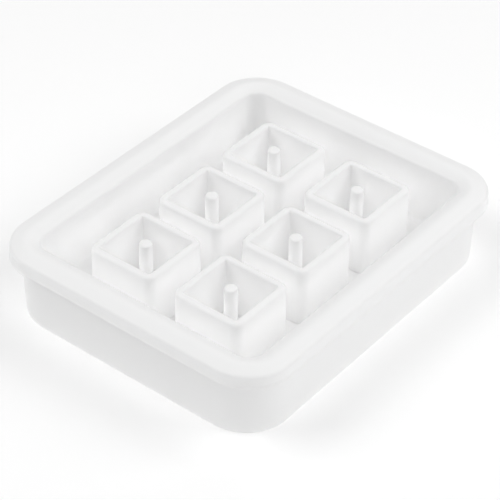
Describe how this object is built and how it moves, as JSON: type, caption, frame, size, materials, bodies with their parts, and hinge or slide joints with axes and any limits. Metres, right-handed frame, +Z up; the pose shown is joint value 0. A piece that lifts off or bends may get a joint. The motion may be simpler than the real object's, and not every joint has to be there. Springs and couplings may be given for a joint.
{
  "type": "bead casting mould",
  "caption": "Rounded-rectangle silicone tray mould with a crowned overhanging rim and free-standing square cups, each with a core pin for casting pierced cube beads.",
  "frame": {"origin": "centre of the flat underside", "axes": "+X along the tray's long side, +Y along its short side, +Z up, out of the mouths of the cups"},
  "size_m": [0.1012, 0.0828, 0.021],
  "materials": {
    "silicone": "satin translucent white platinum-cure silicone"
  },
  "bodies": {
    "root": {"base_sheet": "silicone", "side_wall": "silicone", "rim": "silicone", "bead_cup_1": "silicone", "bead_cup_2": "silicone", "bead_cup_3": "silicone", "bead_cup_4": "silicone", "bead_cup_5": "silicone", "bead_cup_6": "silicone", "bead_pin_1": "silicone", "bead_pin_2": "silicone", "bead_pin_3": "silicone", "bead_pin_4": "silicone", "bead_pin_5": "silicone", "bead_pin_6": "silicone"}
  },
  "joints": []
}
